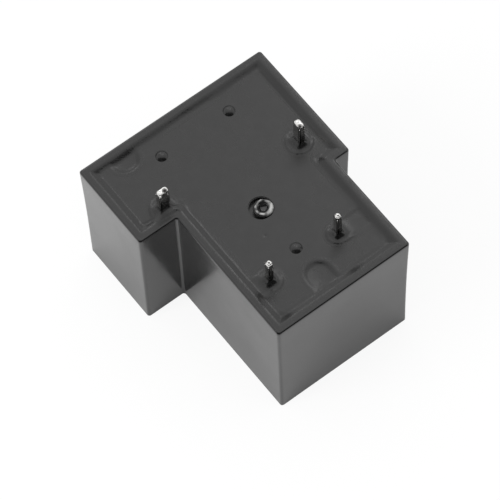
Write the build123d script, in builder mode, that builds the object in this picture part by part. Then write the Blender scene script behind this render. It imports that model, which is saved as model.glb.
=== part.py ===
from build123d import *
from math import asin, cos, degrees, radians, sin
import os

# Sealed power relay for a circuit board, with one normally open contact and a T-shaped plastic case.
# It lies on the closed face of its case with its four pins up, so the coil's axis is vertical.
# Millimetres. The origin is at the middle of the closed face, +Z points along the pins,
# +Y runs from the stem of the T to its crossbar, and +X runs along the crossbar.

# Case: one moulding, open towards the pins
case_width = 27.4
case_length = 32.2
case_height = 19.8
left_notch = 5.5
left_bar_depth = 12.4
right_notch = 2.25
right_bar_depth = 17.75
case_draft = 0.43
case_round = 0.35
case_wall = 1.1
closed_wall = 1.0
rim_wall = 0.8
inner_corner = 0.3

# Base: the plate that closes the case and carries every pin
base_clearance = 0.03
base_thickness = 1.2
plateau_height = 1.3
plateau_sink = 0.35
plateau_corner = 0.7
plateau_inset = {
    "left": 1.8,
    "top": 2.0,
    "right": 1.75,
    "right_step": 2.25,
    "stem_right": 2.0,
    "bottom": 2.2,
    "stem_left": 2.1,
    "left_step": 2.2,
}
slot_clearance = 0.03

# Stand-off nubs, small domes that keep the board off the seal
nub_radius = 0.78
nub_height = 0.4
nub_from_edge = 4.35
nub_from_end = 8.0

# Dispensing wells, where the sealing resin is poured
stem_well_radius = 2.0
stem_well_from_end = 3.6
corner_well_radius = 2.1
corner_well_from_side = 5.4
corner_well_from_edge = 1.9

# Vent: a recess with a nib that is closed by a bead after the sealing
vent_from_end = 14.85
vent_recess_radius = 1.5
vent_recess_depth = 0.7
nib_radius = 1.2
nib_shift = 0.2
nib_proud = 0.12
vent_hole_radius = 0.6
bead_radius = 0.95
bead_height = 0.3

# Sealing resin round the base, and the menisci on the rim and the pins
resin_sink = 0.2
meniscus_width = 0.95
meniscus_edge = 0.12
meniscus_sink = 0.12
collar_width = 0.45
collar_height = 0.4
collar_taper = 45

# Pins, all cut to one length
pin_length = 4.0
pin_point = 0.4
point_taper = 20
load_from_side = 5.1
load_from_step = 2.05
load_pin_width = 1.4
common_from_side = 4.0
common_from_step = 4.75
common_pin_width = 1.2
terminal_thickness = 0.8
coil_pin_from_end = 6.5
coil_pin_pitch = 10.16
coil_pin_size = 0.7
load_pocket_radius = 1.85
common_pocket_radius = 1.8
left_pocket_radius = 1.7
right_pocket_radius = 1.5
gate_width = 3.1

# Yoke: the bent steel strip that carries the coil and the armature's hinge
axis_from_notch = 8.77
yoke_thickness = 1.4
yoke_back_gap = 0.7
yoke_foot_width = 8.2
yoke_leg_width = 11.0
yoke_vent_gap = 1.05
yoke_bend = 1.2
ear_width = 1.1
ear_length = 1.0
yoke_end_z = 5.2

# Coil
flange_gap = 0.57
flange_corner = 3.0
flange_thickness = 0.8
hub_wall = 0.7
winding_radius = 6.1
tape_thickness = 0.12
coil_clearance = 0.1
core_radius = 2.6
bore_clearance = 0.05
pole_radius = 3.8
pole_thickness = 0.9
tenon_radius = 1.9
boss_size = 1.8
boss_height = 0.7
pin_root = 0.7
lead_wire = 0.2
lead_wrap_height = 0.45

# Armature and what it carries
open_angle = 4.0
hinge_gap = 0.03
heel_gap = 0.6
armature_thickness = 1.2
armature_width = 10.4
armature_nose_width = 7.6
armature_gap = 0.6
ear_clearance = 0.2
stop_gap = 0.06

# Contact blade and contacts
blade_thickness = 0.35
blade_width = 5.2
blade_start = 5.6
contact_from_load = 3.35
contact_radius = 1.75
contact_height = 0.8
contact_shank = 0.9
contact_tail_radius = 1.3
contact_tail = 0.35
contact_bevel = 0.2
stop_pad_width = 4.0
stop_pad_depth = 1.0
stop_pad_gap = 0.3

# Hinge spring
spring_thickness = 0.25
spring_width = 7.0
spring_bend = 0.5
spring_leg = 5.2
spring_tongue = 4.4

# Rivets
rivet_radius = 0.6
rivet_head_radius = 0.95
rivet_head = 0.35
thin_rivet_head = 0.2
spring_rivet_pitch = 4.6
blade_rivet_pitch = 3.2
blade_rivet_from_nose = 2.0
tongue_rivet_y = 2.9

# Terminals inside the case
load_leg_width = 4.0
tongue_margin = 0.75
terminal_bend = 0.6
common_leg_width = 4.2
common_leg_end = 6.5
braid_thickness = 0.6
braid_width = 2.2
braid_from_common = 0.6
braid_bend = 2.0
braid_weld = 3.5

# Sides of the T outline, and the places that follow from them
side_x = case_width / 2
end_y = case_length / 2
notch_x = left_notch - side_x
stem_x = side_x - right_notch
left_step_y = end_y - left_bar_depth
right_step_y = end_y - right_bar_depth
axis_x = notch_x + axis_from_notch
left_coil_x = axis_x - coil_pin_pitch / 2
right_coil_x = axis_x + coil_pin_pitch / 2
coil_pin_y = coil_pin_from_end - end_y
load_x = load_from_side - side_x
load_y = left_step_y + load_from_step
common_x = side_x - common_from_side
common_y = right_step_y + common_from_step
vent_y = vent_from_end - end_y
nib_x = axis_x + nib_shift
nib_y = vent_y - nib_shift
stem_well_y = stem_well_from_end - end_y
corner_well_x = corner_well_from_side - side_x
corner_well_y = end_y - corner_well_from_edge

# Levels and places inside
rim_z = case_height
plateau_z = rim_z - plateau_sink
floor_z = plateau_z - plateau_height
under_z = floor_z - base_thickness
resin_z = plateau_z - resin_sink
tip_z = rim_z + pin_length
yoke_back = case_wall + yoke_back_gap - end_y
yoke_front = yoke_back + yoke_thickness
foot_z = under_z - yoke_thickness
yoke_foot_end = nib_y - vent_hole_radius - yoke_vent_gap
near_wall = min(axis_from_notch, stem_x - axis_x) - case_wall
flange_size = 2 * (near_wall - flange_gap)
coil_y = yoke_front + coil_clearance + flange_size / 2
pole_z = yoke_end_z + stop_gap
flange_z = pole_z + pole_thickness
armature_under = -hinge_gap - armature_thickness
fixed_face_z = yoke_end_z + armature_under + contact_height + stop_gap
tongue_z = fixed_face_z + contact_height
contact_y = load_y + contact_from_load
contact_reach = contact_y - yoke_back
braid_y = common_y + braid_from_common
armature_length = braid_y - braid_width / 2 - armature_gap - yoke_back
blade_rivet_y = armature_length - blade_rivet_from_nose

# The armature's own plane when the relay is at rest: its origin is on the hinge line,
# its Y runs along the armature, and the far end hangs by the opening angle.
tilt = radians(open_angle)
armature_plane = Plane(
    origin=(axis_x, yoke_back, yoke_end_z), x_dir=(1, 0, 0), z_dir=(0, sin(tilt), cos(tilt))
)


def height_on_armature(reach, level):
    # Height over the closed face of a point that lies at a reach and level on the armature
    return yoke_end_z - reach * sin(tilt) + level * cos(tilt)


def even(inset):
    return dict.fromkeys(plateau_inset, inset)


def dome_radius(radius, height):
    # Radius of the ball whose cap has this radius and height
    return (radius**2 + height**2) / (2 * height)


def dome_arc(radius, height, top):
    # Half of a cap's outline, from its edge to its top on the axis
    ball = dome_radius(radius, height)
    sweep = degrees(asin(radius / ball))
    return CenterArc((0, top - ball), ball, 90 - sweep, sweep)


def t_sketch(inset, corner=0):
    # The case's T outline, each side moved in by its own inset, with sharp or rounded corners
    left = inset["left"] - side_x
    right = side_x - inset["right"]
    top = end_y - inset["top"]
    bottom = inset["bottom"] - end_y
    stem_left = notch_x + inset["stem_left"]
    stem_right = stem_x - inset["stem_right"]
    left_step = left_step_y + inset["left_step"]
    right_step = right_step_y + inset["right_step"]
    with BuildSketch() as outline:
        with BuildLine():
            Polyline(
                (left, top), (right, top), (right, right_step), (stem_right, right_step),
                (stem_right, bottom), (stem_left, bottom), (stem_left, left_step),
                (left, left_step), close=True,
            )
        make_face()
        if corner:
            fillet(outline.vertices(), corner)
    return outline.sketch


def pocket_sketch():
    # What is left out of the plateau: pin pockets, their gates to the channel, and the wells
    with BuildSketch() as pockets:
        with Locations((load_x, load_y)):
            Circle(load_pocket_radius)
        with Locations((common_x, common_y)):
            Circle(common_pocket_radius)
        with Locations((left_coil_x, coil_pin_y)):
            Circle(left_pocket_radius)
            Rectangle(case_width, gate_width, align=(Align.MAX, Align.CENTER))
        with Locations((right_coil_x, coil_pin_y)):
            Circle(right_pocket_radius)
            Rectangle(case_width, gate_width, align=(Align.MIN, Align.CENTER))
        with Locations((axis_x, stem_well_y)):
            Circle(stem_well_radius)
            Rectangle(2 * stem_well_radius, 2 * stem_well_radius, align=(Align.CENTER, Align.MAX))
        with Locations((corner_well_x, corner_well_y)):
            Circle(corner_well_radius)
        add(t_sketch(plateau_inset, plateau_corner), mode=Mode.INTERSECT)
    return pockets.sketch


def pin_sketch(spare):
    # The sections of all four pins, with a clearance all round
    with BuildSketch() as pins:
        with Locations((load_x, load_y)):
            Rectangle(load_pin_width + 2 * spare, terminal_thickness + 2 * spare)
        with Locations((common_x, common_y)):
            Rectangle(terminal_thickness + 2 * spare, common_pin_width + 2 * spare)
        with Locations((left_coil_x, coil_pin_y), (right_coil_x, coil_pin_y)):
            Rectangle(coil_pin_size + 2 * spare, coil_pin_size + 2 * spare)
    return pins.sketch


# Case: a drafted T-shaped shell, with a seat for the base and a stop for the contact blade
stop_reach = contact_reach + contact_tail_radius + stop_pad_gap + stop_pad_depth / 2
stop_top = height_on_armature(stop_reach + stop_pad_depth, armature_under - blade_thickness)
with BuildPart() as case:
    with BuildSketch():
        add(t_sketch(even(0)))
    extrude(amount=case_height)
    draft(case.faces().filter_by(Axis.Z, reverse=True), Plane.XY.offset(rim_z), -case_draft)
    fillet(case.edges() - case.edges().group_by(Axis.Z)[-1], case_round)
    with BuildSketch(Plane.XY.offset(closed_wall)):
        add(t_sketch(even(case_wall), inner_corner))
    extrude(amount=case_height, mode=Mode.SUBTRACT)
    with BuildSketch(Plane.XY.offset(under_z)):
        add(t_sketch(even(rim_wall), inner_corner))
    extrude(amount=case_height, mode=Mode.SUBTRACT)
    with BuildSketch(Plane.XY.offset(closed_wall)):
        with Locations((axis_x, yoke_back + stop_reach)):
            RectangleRounded(stop_pad_width, stop_pad_depth, stop_pad_depth / 4)
    extrude(amount=stop_top - stop_gap - closed_wall)
case.part.label = "case"

# Base: plate, plateau with pockets and wells, stand-off nubs, vent and pin slots
nub_sphere = dome_radius(nub_radius, nub_height)
nub_places = [
    (left_coil_x, end_y - nub_from_edge),
    (right_coil_x, end_y - nub_from_edge),
    (axis_x, nub_from_end - end_y),
]
with BuildPart() as base:
    with BuildSketch(Plane.XY.offset(under_z)):
        add(t_sketch(even(rim_wall + base_clearance), inner_corner))
    extrude(amount=base_thickness)
    with BuildSketch(Plane.XY.offset(floor_z)):
        add(t_sketch(plateau_inset, plateau_corner))
        add(pocket_sketch(), mode=Mode.SUBTRACT)
    extrude(amount=plateau_height)
    with Locations(*[(x, y, plateau_z + nub_height - nub_sphere) for x, y in nub_places]):
        Sphere(nub_sphere)
    with Locations((axis_x, vent_y, plateau_z)):
        Cylinder(
            vent_recess_radius, vent_recess_depth,
            align=(Align.CENTER, Align.CENTER, Align.MAX), mode=Mode.SUBTRACT,
        )
    with Locations((nib_x, nib_y, plateau_z - vent_recess_depth)):
        Cylinder(
            nib_radius, vent_recess_depth + nib_proud,
            align=(Align.CENTER, Align.CENTER, Align.MIN),
        )
    with Locations((nib_x, nib_y, plateau_z)):
        Cylinder(vent_hole_radius, case_height, mode=Mode.SUBTRACT)
    with BuildSketch(Plane.XY.offset(under_z)):
        add(pin_sketch(slot_clearance))
    extrude(amount=case_height, mode=Mode.SUBTRACT)
base.part.label = "base"

# Vent bead: a drop of resin that fills the nib's mouth and stands on it as a dome
bead_depth = vent_recess_depth
with BuildPart() as vent_bead:
    with BuildSketch(Plane.XZ):
        with BuildLine():
            Polyline(
                (0, nib_proud + bead_height), (0, -bead_depth), (vent_hole_radius, -bead_depth),
                (vent_hole_radius, nib_proud), (bead_radius, nib_proud),
            )
            dome_arc(bead_radius, bead_height, nib_proud + bead_height)
        make_face()
    revolve(axis=Axis.Z)
vent_bead.part.label = "vent_bead"
vent_bead.part.position = (nib_x, nib_y, plateau_z)

# Sealing resin: fills the channel, pockets and wells, and climbs the rim and each pin
meniscus_z = rim_z - meniscus_sink
with BuildPart() as resin:
    with BuildSketch(Plane.XY.offset(floor_z)):
        add(t_sketch(even(rim_wall), inner_corner))
        add(t_sketch(plateau_inset, plateau_corner), mode=Mode.SUBTRACT)
        add(pocket_sketch())
    extrude(amount=meniscus_z - floor_z)
    with BuildSketch(Plane.XY.offset(resin_z)):
        add(t_sketch(even(rim_wall + meniscus_width)))
    with BuildSketch(Plane.XY.offset(meniscus_z)):
        add(t_sketch(even(rim_wall + meniscus_edge)))
    loft(mode=Mode.SUBTRACT)
    with BuildSketch(Plane.XY.offset(resin_z)):
        add(pin_sketch(collar_width))
    extrude(amount=collar_height, taper=collar_taper)
    with BuildSketch(Plane.XY.offset(floor_z)):
        add(pin_sketch(0))
    extrude(amount=case_height, mode=Mode.SUBTRACT)
resin.part.label = "sealing_resin"

# Yoke: foot under the base, leg at the end of the stem, and two ears that keep the armature in place
with BuildPart() as yoke:
    with BuildSketch(Plane.XY.offset(foot_z)):
        with Locations((axis_x, yoke_back)):
            Rectangle(yoke_foot_width, yoke_foot_end - yoke_back, align=(Align.CENTER, Align.MIN))
    extrude(amount=yoke_thickness)
    with BuildSketch(Plane.XY.offset(yoke_end_z)):
        with Locations((axis_x, yoke_back)):
            Rectangle(yoke_leg_width, yoke_thickness, align=(Align.CENTER, Align.MIN))
    extrude(amount=under_z - yoke_end_z)
    fillet(yoke.edges().filter_by(Axis.X).group_by(Axis.Z)[-1].sort_by(Axis.Y)[0], yoke_bend)
    ear_x = (yoke_leg_width - ear_width) / 2
    with BuildSketch(Plane.XY.offset(yoke_end_z)):
        with Locations((axis_x - ear_x, yoke_back), (axis_x + ear_x, yoke_back)):
            Rectangle(ear_width, yoke_thickness, align=(Align.CENTER, Align.MIN))
    extrude(amount=-ear_length)
    with Locations((axis_x, coil_y, foot_z)):
        Cylinder(tenon_radius, case_height, mode=Mode.SUBTRACT)
    spring_rivet_z = yoke_end_z + spring_leg - 2 * rivet_head_radius
    with BuildSketch(Plane.XZ.offset(-yoke_back)):
        with Locations((axis_x, spring_rivet_z)):
            with GridLocations(spring_rivet_pitch, 1, 2, 1):
                Circle(rivet_radius)
    extrude(amount=-yoke_thickness, mode=Mode.SUBTRACT)
yoke.part.label = "yoke"

# Core: pole head towards the armature, shank in the bobbin, tenon staked in the yoke
with BuildPart() as core:
    with BuildSketch(Plane.XY.offset(pole_z)):
        with Locations((axis_x, coil_y)):
            Circle(pole_radius)
    extrude(amount=pole_thickness)
    chamfer(core.edges().group_by(Axis.Z)[0], pole_thickness / 4)
    with BuildSketch(Plane.XY.offset(flange_z)):
        with Locations((axis_x, coil_y)):
            Circle(core_radius)
    extrude(amount=foot_z - flange_z)
    with BuildSketch(Plane.XY.offset(foot_z)):
        with Locations((axis_x, coil_y)):
            Circle(tenon_radius)
    extrude(amount=yoke_thickness)
core.part.label = "core"

# Bobbin: hub, two flanges and a boss for each coil pin
hub_radius = core_radius + bore_clearance + hub_wall
with BuildPart() as bobbin:
    with BuildSketch(Plane.XY.offset(flange_z), Plane.XY.offset(foot_z - flange_thickness)):
        with Locations((axis_x, coil_y)):
            RectangleRounded(flange_size, flange_size, flange_corner)
    extrude(amount=flange_thickness)
    with BuildSketch(Plane.XY.offset(flange_z)):
        with Locations((axis_x, coil_y)):
            Circle(hub_radius)
    extrude(amount=foot_z - flange_z)
    with BuildSketch(Plane.XY.offset(foot_z)):
        with Locations((left_coil_x, coil_pin_y), (right_coil_x, coil_pin_y)):
            Rectangle(boss_size, boss_size)
    extrude(amount=boss_height)
    with BuildSketch(Plane.XY.offset(flange_z)):
        with Locations((axis_x, coil_y)):
            Circle(core_radius + bore_clearance)
    extrude(amount=foot_z - flange_z, mode=Mode.SUBTRACT)
    with BuildSketch(Plane.XY.offset(foot_z - pin_root)):
        with Locations((left_coil_x, coil_pin_y), (right_coil_x, coil_pin_y)):
            Rectangle(coil_pin_size, coil_pin_size)
    extrude(amount=case_height, mode=Mode.SUBTRACT)
bobbin.part.label = "bobbin"

# Winding: enamelled wire that fills the bobbin between its flanges, with a wrap of tape round it
winding_low = flange_z + flange_thickness
winding_high = foot_z - flange_thickness
with BuildPart() as winding:
    with BuildSketch(Plane.XY.offset(winding_low)):
        with Locations((axis_x, coil_y)):
            Circle(winding_radius)
            Circle(hub_radius, mode=Mode.SUBTRACT)
    extrude(amount=winding_high - winding_low)
winding.part.label = "winding"

with BuildPart() as coil_tape:
    with BuildSketch(Plane.XY.offset(winding_low)):
        with Locations((axis_x, coil_y)):
            Circle(winding_radius + tape_thickness)
            Circle(winding_radius, mode=Mode.SUBTRACT)
    extrude(amount=winding_high - winding_low)
coil_tape.part.label = "coil_tape"

# Coil leads: each end of the winding goes out over the flange and is wrapped round its pin
wrap_radius = coil_pin_size * 0.75 + lead_wire
wrap_z = foot_z + boss_height
lead_reach = (flange_size - coil_pin_pitch + lead_wire) / 2
with BuildPart() as coil_leads:
    with BuildSketch(Plane.XY.offset(wrap_z)):
        with Locations((left_coil_x, coil_pin_y), (right_coil_x, coil_pin_y)):
            Circle(wrap_radius)
    extrude(amount=lead_wrap_height)
    for side, x in ((-1, left_coil_x), (1, right_coil_x)):
        with BuildSketch(Plane.XZ.offset(-coil_pin_y)):
            with Locations((x + side * lead_reach, wrap_z)):
                Rectangle(
                    lead_wire, foot_z - winding_high + boss_height + lead_wire,
                    align=(Align.CENTER, Align.MAX),
                )
            with Locations((x + side * lead_reach / 2, wrap_z + lead_wire / 2)):
                Rectangle(lead_reach + lead_wire, lead_wire)
        extrude(amount=lead_wire / 2, both=True)
    with BuildSketch(Plane.XY.offset(wrap_z)):
        with Locations((left_coil_x, coil_pin_y), (right_coil_x, coil_pin_y)):
            Rectangle(coil_pin_size, coil_pin_size)
    extrude(amount=lead_wrap_height, mode=Mode.SUBTRACT)
coil_leads.part.label = "coil_leads"


def pin(x, y, width, depth, low):
    # One pin from a level inside the relay to its tapered tip
    with BuildPart() as shaft:
        with BuildSketch(Plane.XY.offset(low)):
            with Locations((x, y)):
                Rectangle(width, depth)
        extrude(amount=tip_z - pin_point - low)
        extrude(shaft.faces().sort_by(Axis.Z)[-1], amount=pin_point, taper=point_taper)
    return shaft.part


with BuildPart() as left_coil_pin:
    add(pin(left_coil_x, coil_pin_y, coil_pin_size, coil_pin_size, foot_z - pin_root))
left_coil_pin.part.label = "left_coil_pin"

with BuildPart() as right_coil_pin:
    add(pin(right_coil_x, coil_pin_y, coil_pin_size, coil_pin_size, foot_z - pin_root))
right_coil_pin.part.label = "right_coil_pin"

# Load terminal: pin, leg down into the case, and a tongue that carries the fixed contact
leg_outer_y = load_y - terminal_thickness / 2
tongue_left = load_x - load_leg_width / 2
tongue_right = axis_x + contact_radius + tongue_margin
tongue_end = contact_y + contact_radius + tongue_margin
with BuildPart() as load_terminal:
    add(pin(load_x, load_y, load_pin_width, terminal_thickness, under_z))
    with BuildSketch(Plane.XY.offset(tongue_z)):
        with Locations((load_x, load_y)):
            Rectangle(load_leg_width, terminal_thickness)
    extrude(amount=under_z - tongue_z)
    with BuildSketch(Plane.XY.offset(tongue_z)):
        with BuildLine():
            Polyline(
                (tongue_left, leg_outer_y), (tongue_left + load_leg_width, leg_outer_y),
                (tongue_left + load_leg_width, contact_y - contact_radius - tongue_margin),
                (tongue_right, contact_y - contact_radius - tongue_margin),
                (tongue_right, tongue_end), (tongue_left, tongue_end), close=True,
            )
        make_face()
    extrude(amount=terminal_thickness)
    fillet(
        load_terminal.edges().filter_by(Axis.X).group_by(Axis.Z)[0].sort_by(Axis.Y)[0],
        terminal_bend,
    )
    fillet(
        load_terminal.edges().filter_by(Axis.Z).group_by(Axis.Y)[-1], contact_radius
    )
    with Locations((axis_x, contact_y, tongue_z)):
        Cylinder(contact_shank, 2 * terminal_thickness, mode=Mode.SUBTRACT)
load_terminal.part.label = "load_terminal"

# Common terminal: pin and a wide leg that the braid is welded to
with BuildPart() as common_terminal:
    add(pin(common_x, common_y, terminal_thickness, common_pin_width, under_z))
    with BuildSketch(Plane.XY.offset(common_leg_end)):
        with Locations((common_x, common_y)):
            Rectangle(terminal_thickness, common_leg_width)
    extrude(amount=under_z - common_leg_end)
    fillet(
        common_terminal.edges().filter_by(Axis.X).group_by(Axis.Z)[0], terminal_bend
    )
common_terminal.part.label = "common_terminal"


def contact_rivet(grip):
    # A contact rivet: button above Z = 0 with a bevelled face, shank through a strip, tail below
    with BuildPart() as rivet:
        with BuildSketch(Plane.XZ):
            with BuildLine():
                Polyline(
                    (0, contact_height), (0, -grip - contact_tail),
                    (contact_tail_radius, -grip - contact_tail), (contact_tail_radius, -grip),
                    (contact_shank, -grip), (contact_shank, 0), (contact_radius, 0),
                    (contact_radius, contact_height - contact_bevel),
                    (contact_radius - contact_bevel, contact_height), close=True,
                )
            make_face()
        revolve(axis=Axis.Z)
    return rivet.part


fixed_plane = Plane(origin=(axis_x, contact_y, tongue_z), x_dir=(1, 0, 0), z_dir=(0, 0, -1))
with BuildPart() as fixed_contact:
    with Locations(fixed_plane):
        add(contact_rivet(terminal_thickness))
fixed_contact.part.label = "fixed_contact"

# Armature: soft iron plate with a waist for the yoke's ears and a narrower nose
waist = (yoke_leg_width - 2 * ear_width) / 2 - ear_clearance
waist_end = yoke_thickness + ear_clearance
pole_end = coil_y + pole_radius - yoke_back
blade_rivets = armature_plane * Pos(0, blade_rivet_y, armature_under)
tongue_rivets = armature_plane * Pos(0, tongue_rivet_y, armature_under)
with BuildPart() as armature:
    with BuildSketch(armature_plane.offset(armature_under)):
        with BuildLine():
            Polyline(
                (-waist, heel_gap), (waist, heel_gap), (waist, waist_end),
                (armature_width / 2, waist_end), (armature_width / 2, pole_end),
                (armature_nose_width / 2, armature_length),
                (-armature_nose_width / 2, armature_length), (-armature_width / 2, pole_end),
                (-armature_width / 2, waist_end), (-waist, waist_end), close=True,
            )
        make_face()
        with Locations((0, blade_rivet_y)):
            with GridLocations(blade_rivet_pitch, 1, 2, 1):
                Circle(rivet_radius, mode=Mode.SUBTRACT)
        with Locations((0, tongue_rivet_y)):
            with GridLocations(spring_rivet_pitch, 1, 2, 1):
                Circle(rivet_radius, mode=Mode.SUBTRACT)
    extrude(amount=armature_thickness)
armature.part.label = "armature"

# Contact blade: spring strip under the armature, with a round end for the moving contact
with BuildPart() as contact_blade:
    with BuildSketch(armature_plane.offset(armature_under - blade_thickness)):
        with Locations((0, contact_reach)):
            Circle(blade_width / 2)
        with Locations((0, blade_start)):
            Rectangle(
                blade_width, contact_reach - blade_start, align=(Align.CENTER, Align.MIN)
            )
        with Locations((0, contact_reach)):
            Circle(contact_shank, mode=Mode.SUBTRACT)
        with Locations((0, blade_rivet_y)):
            with GridLocations(blade_rivet_pitch, 1, 2, 1):
                Circle(rivet_radius, mode=Mode.SUBTRACT)
    extrude(amount=blade_thickness)
contact_blade.part.label = "contact_blade"

moving_plane = armature_plane * Pos(0, contact_reach, armature_under)
with BuildPart() as moving_contact:
    with Locations(moving_plane):
        add(contact_rivet(blade_thickness))
moving_contact.part.label = "moving_contact"


def rivet(low, high, head):
    # A rivet along Z: its shank from low to high is staked flush, and its head stands below it
    with BuildPart() as shape:
        with BuildSketch(Plane.XY.offset(low)):
            Circle(rivet_radius)
        extrude(amount=high - low)
        with BuildSketch(Plane.XY.offset(low)):
            Circle(rivet_head_radius)
        extrude(amount=-head)
    return shape.part


with BuildPart() as blade_rivet_pair:
    with Locations(blade_rivets):
        with GridLocations(blade_rivet_pitch, 1, 2, 1):
            add(rivet(-blade_thickness, armature_thickness, rivet_head))
blade_rivet_pair.part.label = "blade_rivets"

# Hinge spring: a leaf riveted to the yoke's back, bent round the heel and riveted to the armature
spring_line_y = yoke_back - spring_thickness / 2
tongue_level = armature_under - spring_thickness / 2
heel_y = yoke_back + tongue_level * sin(tilt)
heel_z = yoke_end_z + tongue_level * cos(tilt)
corner_z = heel_z + (heel_y - spring_line_y) * sin(tilt) / cos(tilt)
tongue_y = heel_y + spring_tongue * cos(tilt)
tongue_end_z = heel_z - spring_tongue * sin(tilt)
with BuildPart() as hinge_spring:
    with BuildSketch(Plane.YZ.offset(axis_x)):
        with BuildLine():
            FilletPolyline(
                (spring_line_y, yoke_end_z + spring_leg), (spring_line_y, corner_z),
                (tongue_y, tongue_end_z), radius=spring_bend,
            )
        trace(line_width=spring_thickness)
    extrude(amount=spring_width / 2, both=True)
    with BuildSketch(Plane.XZ.offset(-yoke_back)):
        with Locations((axis_x, spring_rivet_z)):
            with GridLocations(spring_rivet_pitch, 1, 2, 1):
                Circle(rivet_radius)
    extrude(amount=2 * spring_thickness, mode=Mode.SUBTRACT)
    with Locations(tongue_rivets):
        with GridLocations(spring_rivet_pitch, 1, 2, 1):
            Cylinder(rivet_radius + hinge_gap, 4 * spring_thickness, mode=Mode.SUBTRACT)
hinge_spring.part.label = "hinge_spring"

with BuildPart() as armature_rivets:
    with Locations(tongue_rivets):
        with GridLocations(spring_rivet_pitch, 1, 2, 1):
            add(rivet(-spring_thickness, armature_thickness, rivet_head))
armature_rivets.part.label = "spring_rivets"

yoke_rivet_plane = Plane(
    origin=(axis_x, yoke_back, spring_rivet_z), x_dir=(1, 0, 0), z_dir=(0, 1, 0)
)
with BuildPart() as yoke_rivets:
    with Locations(yoke_rivet_plane):
        with GridLocations(spring_rivet_pitch, 1, 2, 1):
            add(rivet(-spring_thickness, yoke_thickness, thin_rivet_head))
yoke_rivets.part.label = "yoke_rivets"

# Braid: flexible copper strap from the common terminal to the contact blade
braid_reach = braid_y - braid_width / 2 - yoke_back
braid_bottom = height_on_armature(braid_reach, armature_under) + hinge_gap
braid_top_x = common_x - terminal_thickness / 2 - braid_thickness / 2
braid_line_z = braid_bottom + braid_thickness / 2
with BuildPart() as braid:
    with BuildSketch(Plane.XZ.offset(-braid_y)):
        with BuildLine():
            FilletPolyline(
                (braid_top_x, common_leg_end + braid_weld), (braid_top_x, braid_line_z),
                (axis_x, braid_line_z), radius=braid_bend,
            )
        trace(line_width=braid_thickness)
    extrude(amount=braid_width / 2, both=True)
braid.part.label = "braid"

os.makedirs("parts", exist_ok=True)
pieces = [
    case, base, vent_bead, resin, yoke, core, bobbin, winding, coil_tape, coil_leads,
    left_coil_pin, right_coil_pin, load_terminal, common_terminal, fixed_contact, armature,
    contact_blade, moving_contact, blade_rivet_pair, hinge_spring, armature_rivets,
    yoke_rivets, braid,
]
for piece in pieces:
    export_step(piece.part, f"parts/{piece.part.label}.step")
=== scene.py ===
import math

import bmesh
import bpy
import numpy as np
from mathutils import Matrix, Vector, noise
from mathutils.geometry import delaunay_2d_cdt


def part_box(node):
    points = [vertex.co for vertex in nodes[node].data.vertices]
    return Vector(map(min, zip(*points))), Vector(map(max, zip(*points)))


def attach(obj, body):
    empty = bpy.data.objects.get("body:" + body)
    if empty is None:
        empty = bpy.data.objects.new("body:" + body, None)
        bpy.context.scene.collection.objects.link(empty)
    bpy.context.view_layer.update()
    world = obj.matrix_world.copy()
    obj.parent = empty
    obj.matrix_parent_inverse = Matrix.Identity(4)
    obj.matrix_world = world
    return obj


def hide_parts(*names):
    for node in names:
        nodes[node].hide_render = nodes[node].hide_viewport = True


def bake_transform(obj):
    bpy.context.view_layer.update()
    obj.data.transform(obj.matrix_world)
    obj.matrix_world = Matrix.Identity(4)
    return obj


# Sealed power relay, lying on its closed face with the four pins up.
# Metres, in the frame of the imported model. Sizes in millimetres are written as 0.8 * mm.
mm = 0.001
mergeReach = 0.0005 * mm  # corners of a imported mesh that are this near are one
levelReach = 0.002 * mm  # a corner this near a height lies on it
onLine = 1e-7  # a point this near an outline, in metres, is on it
leastWidth = 1e-9  # in metres; keeps a share of a width from being divided by nothing

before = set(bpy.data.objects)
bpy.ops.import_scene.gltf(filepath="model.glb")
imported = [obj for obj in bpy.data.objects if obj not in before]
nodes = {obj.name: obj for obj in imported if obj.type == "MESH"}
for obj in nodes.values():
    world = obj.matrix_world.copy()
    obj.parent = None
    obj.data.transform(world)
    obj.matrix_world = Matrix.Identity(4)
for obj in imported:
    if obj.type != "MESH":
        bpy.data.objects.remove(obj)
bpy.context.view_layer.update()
print("frame loaded with", len(nodes), "nodes")


# Helpers

def linearColour(hexText):
    # An sRGB hex colour as the linear values that a shader takes
    parts = [int(hexText[i:i + 2], 16) / 255 for i in (1, 3, 5)]
    return [p / 12.92 if p <= 0.04045 else ((p + 0.055) / 1.055) ** 2.4 for p in parts] + [1.0]


def addNode(tree, kind, settings=None, inputs=None):
    # One node with its settings; each input gets a value, or a link from a socket or from a
    # node's first output
    node = tree.nodes.new(kind)
    for name, value in (settings or {}).items():
        setattr(node, name, value)
    for name, value in (inputs or {}).items():
        if isinstance(value, bpy.types.Node):
            value = value.outputs[0]
        if isinstance(value, bpy.types.NodeSocket):
            tree.links.new(value, node.inputs[name])
        else:
            node.inputs[name].default_value = value
    return node


def startMaterial(name, patterns=()):
    # An empty material and its noise patterns, which are laid on object coordinates: the size of
    # each in millimetres, its detail and its stretch
    material = bpy.data.materials.new(name)
    material.use_nodes = True
    tree = material.node_tree
    tree.nodes.clear()
    laid = []
    for size, detail, stretch in patterns:
        place = addNode(tree, "ShaderNodeTexCoord").outputs["Object"]
        place = addNode(tree, "ShaderNodeMapping", inputs={"Vector": place, "Scale": stretch})
        laid.append(addNode(tree, "ShaderNodeTexNoise", inputs={
            "Vector": place, "Scale": 1 / (size * mm), "Detail": detail}))
    return material, tree, laid


def newObject(name, data):
    # An object in the scene for a mesh, a lamp or the camera
    made = bpy.data.objects.new(name, data)
    bpy.context.scene.collection.objects.link(made)
    return made


def meshObject(name, bm):
    # A finished bmesh as an object at the origin
    mesh = bpy.data.meshes.new(name)
    bm.to_mesh(mesh)
    bm.free()
    return newObject(name, mesh)


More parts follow.
